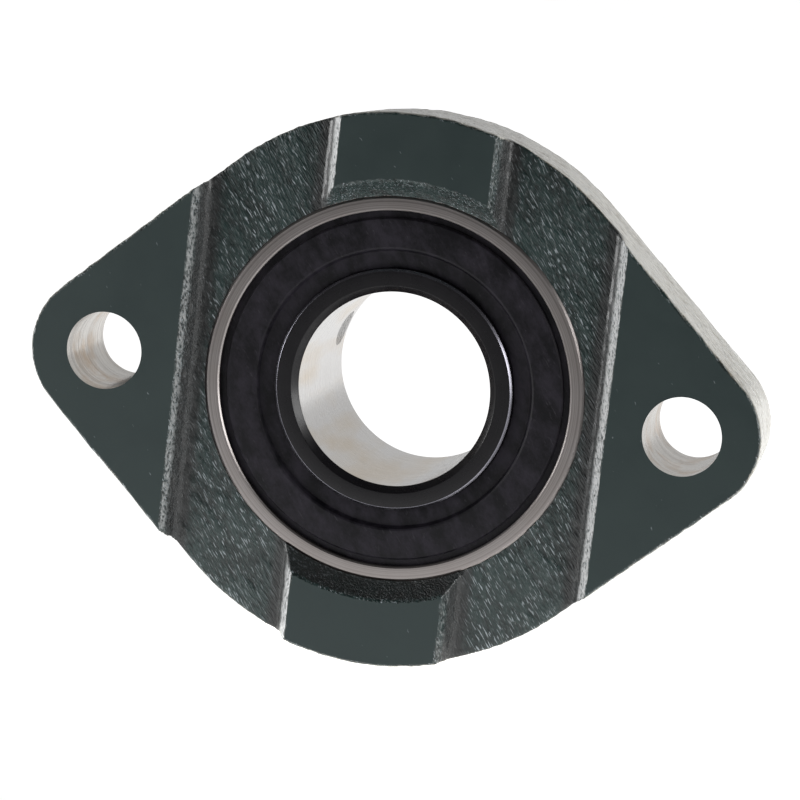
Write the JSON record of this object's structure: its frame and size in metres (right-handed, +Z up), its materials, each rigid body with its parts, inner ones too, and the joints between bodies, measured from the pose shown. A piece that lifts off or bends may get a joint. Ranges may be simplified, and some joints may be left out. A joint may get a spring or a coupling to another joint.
{
  "type": "two-bolt flange bearing unit",
  "caption": "Oval cast flange housing with a self-aligning sealed ball bearing insert, held on a shaft by set screws in its extended inner ring.",
  "frame": {"origin": "on the shaft axis in the mounting face, midway between the two bolt holes", "axes": "+Y along the shaft axis, from the mounting face towards the hub and set screws; +X along the line of the bolt holes; +Z up, across the flange"},
  "size_m": [0.1145, 0.033, 0.0854],
  "materials": {
    "housing_paint": "dark grey-green paint on rough sand-cast iron, with bare machined bolt holes",
    "ground_steel": "ground bearing steel with fine circular marks",
    "blackened_steel": "black oxide faces, with a bright honed bore and ground tracks",
    "seal_rubber": "black moulded nitrile rubber, slightly mottled",
    "pressed_steel": "cold-pressed sheet steel",
    "ball_steel": "polished bearing balls",
    "screw_steel": "black oxide set screws"
  },
  "bodies": {
    "housing": {"housing": "housing_paint"},
    "outer": {"outer_ring": "ground_steel", "seal_back_rubber": "seal_rubber", "seal_back_core": "pressed_steel", "seal_front_rubber": "seal_rubber", "seal_front_core": "pressed_steel"},
    "inner": {"inner_ring": "blackened_steel"},
    "cage": {"cage_half_front": "pressed_steel", "cage_half_back": "pressed_steel", "cage_rivets": "pressed_steel"},
    "ball_1": {"ball_1": "ball_steel"},
    "ball_2": {"ball_2": "ball_steel"},
    "ball_3": {"ball_3": "ball_steel"},
    "ball_4": {"ball_4": "ball_steel"},
    "ball_5": {"ball_5": "ball_steel"},
    "ball_6": {"ball_6": "ball_steel"},
    "ball_7": {"ball_7": "ball_steel"},
    "ball_8": {"ball_8": "ball_steel"},
    "ball_9": {"ball_9": "ball_steel"},
    "set_screw_1": {"set_screw_1": "screw_steel"},
    "set_screw_2": {"set_screw_2": "screw_steel"}
  },
  "joints": [
    {"name": "self_align", "type": "hinge", "parent": "housing", "child": "outer", "pos_m": [0, 0.012, 0], "axis": [1, 0, 0], "range_deg": [-3, 3]},
    {"name": "inner_spin", "type": "hinge", "parent": "outer", "child": "inner", "pos_m": [0, 0.012, 0], "axis": [0, 1, 0], "continuous": true},
    {"name": "cage_spin", "type": "hinge", "parent": "outer", "child": "cage", "pos_m": [0, 0.012, 0], "axis": [0, 1, 0], "continuous": true},
    {"name": "ball_1_spin", "type": "hinge", "parent": "cage", "child": "ball_1", "pos_m": [0, 0.012, 0.023], "axis": [0, 1, 0], "continuous": true},
    {"name": "ball_2_spin", "type": "hinge", "parent": "cage", "child": "ball_2", "pos_m": [-0.01478, 0.012, 0.01762], "axis": [0, 1, 0], "continuous": true},
    {"name": "ball_3_spin", "type": "hinge", "parent": "cage", "child": "ball_3", "pos_m": [-0.02265, 0.012, 0.00399], "axis": [0, 1, 0], "continuous": true},
    {"name": "ball_4_spin", "type": "hinge", "parent": "cage", "child": "ball_4", "pos_m": [-0.01992, 0.012, -0.0115], "axis": [0, 1, 0], "continuous": true},
    {"name": "ball_5_spin", "type": "hinge", "parent": "cage", "child": "ball_5", "pos_m": [-0.00787, 0.012, -0.02161], "axis": [0, 1, 0], "continuous": true},
    {"name": "ball_6_spin", "type": "hinge", "parent": "cage", "child": "ball_6", "pos_m": [0.00787, 0.012, -0.02161], "axis": [0, 1, 0], "continuous": true},
    {"name": "ball_7_spin", "type": "hinge", "parent": "cage", "child": "ball_7", "pos_m": [0.01992, 0.012, -0.0115], "axis": [0, 1, 0], "continuous": true},
    {"name": "ball_8_spin", "type": "hinge", "parent": "cage", "child": "ball_8", "pos_m": [0.02265, 0.012, 0.00399], "axis": [0, 1, 0], "continuous": true},
    {"name": "ball_9_spin", "type": "hinge", "parent": "cage", "child": "ball_9", "pos_m": [0.01478, 0.012, 0.01762], "axis": [0, 1, 0], "continuous": true},
    {"name": "set_screw_1_travel", "type": "slide", "parent": "inner", "child": "set_screw_1", "axis": [0.9511, 0, -0.309], "range_m": [-0.003, 0.003]},
    {"name": "set_screw_2_travel", "type": "slide", "parent": "inner", "child": "set_screw_2", "axis": [-0.7431, 0, -0.6691], "range_m": [-0.003, 0.003]}
  ],
  "couplings": [
    {"joint": "cage_spin", "follows": "inner_spin", "ratio": 0.39647},
    {"joint": "ball_1_spin", "follows": "inner_spin", "ratio": -2.3112},
    {"joint": "ball_2_spin", "follows": "inner_spin", "ratio": -2.3112},
    {"joint": "ball_3_spin", "follows": "inner_spin", "ratio": -2.3112},
    {"joint": "ball_4_spin", "follows": "inner_spin", "ratio": -2.3112},
    {"joint": "ball_5_spin", "follows": "inner_spin", "ratio": -2.3112},
    {"joint": "ball_6_spin", "follows": "inner_spin", "ratio": -2.3112},
    {"joint": "ball_7_spin", "follows": "inner_spin", "ratio": -2.3112},
    {"joint": "ball_8_spin", "follows": "inner_spin", "ratio": -2.3112},
    {"joint": "ball_9_spin", "follows": "inner_spin", "ratio": -2.3112}
  ]
}
